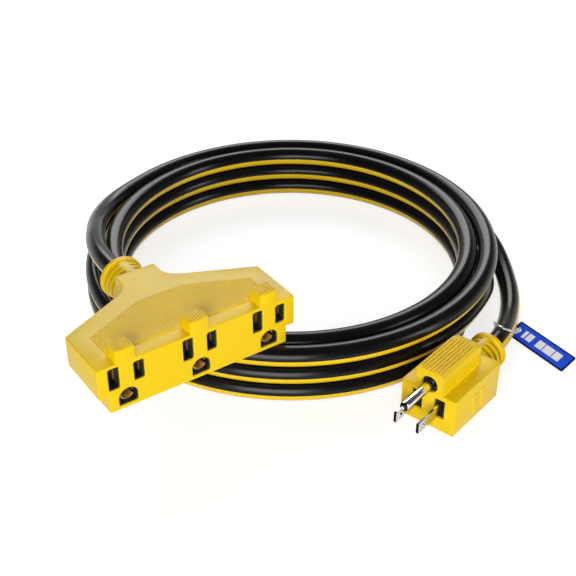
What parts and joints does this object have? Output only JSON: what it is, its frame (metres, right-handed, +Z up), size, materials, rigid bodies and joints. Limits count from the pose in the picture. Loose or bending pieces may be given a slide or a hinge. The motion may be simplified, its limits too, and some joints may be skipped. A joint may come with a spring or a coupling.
{
  "type": "extension cord",
  "caption": "Heavy-duty extension cord coiled for storage, with a wide outlet block lying on the coil, a grounded plug beside it and a small tag on a wire loop.",
  "frame": {"origin": "centre of the plug's underside, on the floor", "axes": "+X along the outlet block's face, +Y from that face towards the block's cable end, +Z up"},
  "size_m": [0.2823, 0.2769, 0.0652],
  "materials": {
    "yellow_shell": "satin moulded vinyl",
    "black_insert": "satin",
    "cable_jacket": "smooth, glossy, with yellow stripes",
    "brass_contact": "satin",
    "plated_prong": "bright nickel plate",
    "white_conductor": "satin insulation",
    "black_conductor": "satin insulation",
    "green_conductor": "satin insulation",
    "steel_wire": "bright drawn wire",
    "blue_tag": "gloss, printed"
  },
  "bodies": {
    "cord": {"block_shell": "yellow_shell", "block_strain_relief": "yellow_shell", "outlet_carrier_left": "black_insert", "outlet_carrier_center": "black_insert", "outlet_carrier_right": "black_insert", "neutral_clip_left": "brass_contact", "neutral_clip_center": "brass_contact", "neutral_clip_right": "brass_contact", "line_clip_left": "brass_contact", "line_clip_center": "brass_contact", "line_clip_right": "brass_contact", "ground_clip_left": "brass_contact", "ground_clip_center": "brass_contact", "ground_clip_right": "brass_contact", "neutral_bus_strap": "brass_contact", "line_bus_strap": "brass_contact", "ground_bus_strap": "brass_contact", "block_wire_white": "white_conductor", "block_wire_black": "black_conductor", "block_wire_green": "green_conductor", "cord_lead": "cable_jacket", "cord_coil": "cable_jacket", "cord_tail": "cable_jacket", "plug_shell": "yellow_shell", "plug_core": "black_insert", "neutral_blade": "plated_prong", "line_blade": "plated_prong", "ground_pin": "plated_prong", "plug_strain_relief": "yellow_shell", "plug_wire_white": "white_conductor", "plug_wire_black": "black_conductor", "plug_wire_green": "green_conductor"},
    "loop": {"tag_loop": "steel_wire"},
    "tag": {"tag_plate": "blue_tag"}
  },
  "joints": [
    {"name": "loop_swing", "type": "hinge", "parent": "cord", "child": "loop", "pos_m": [0.0562, 0.0204, 0.0098], "axis": [-0.82, -0.546, 0.172], "range_deg": [0, 45]},
    {"name": "tag_turn", "type": "hinge", "parent": "loop", "child": "tag", "pos_m": [0.0694, 0.0222, 0.00305], "axis": [-0.4067, 0, 0.9135], "range_deg": [0, 12]}
  ]
}
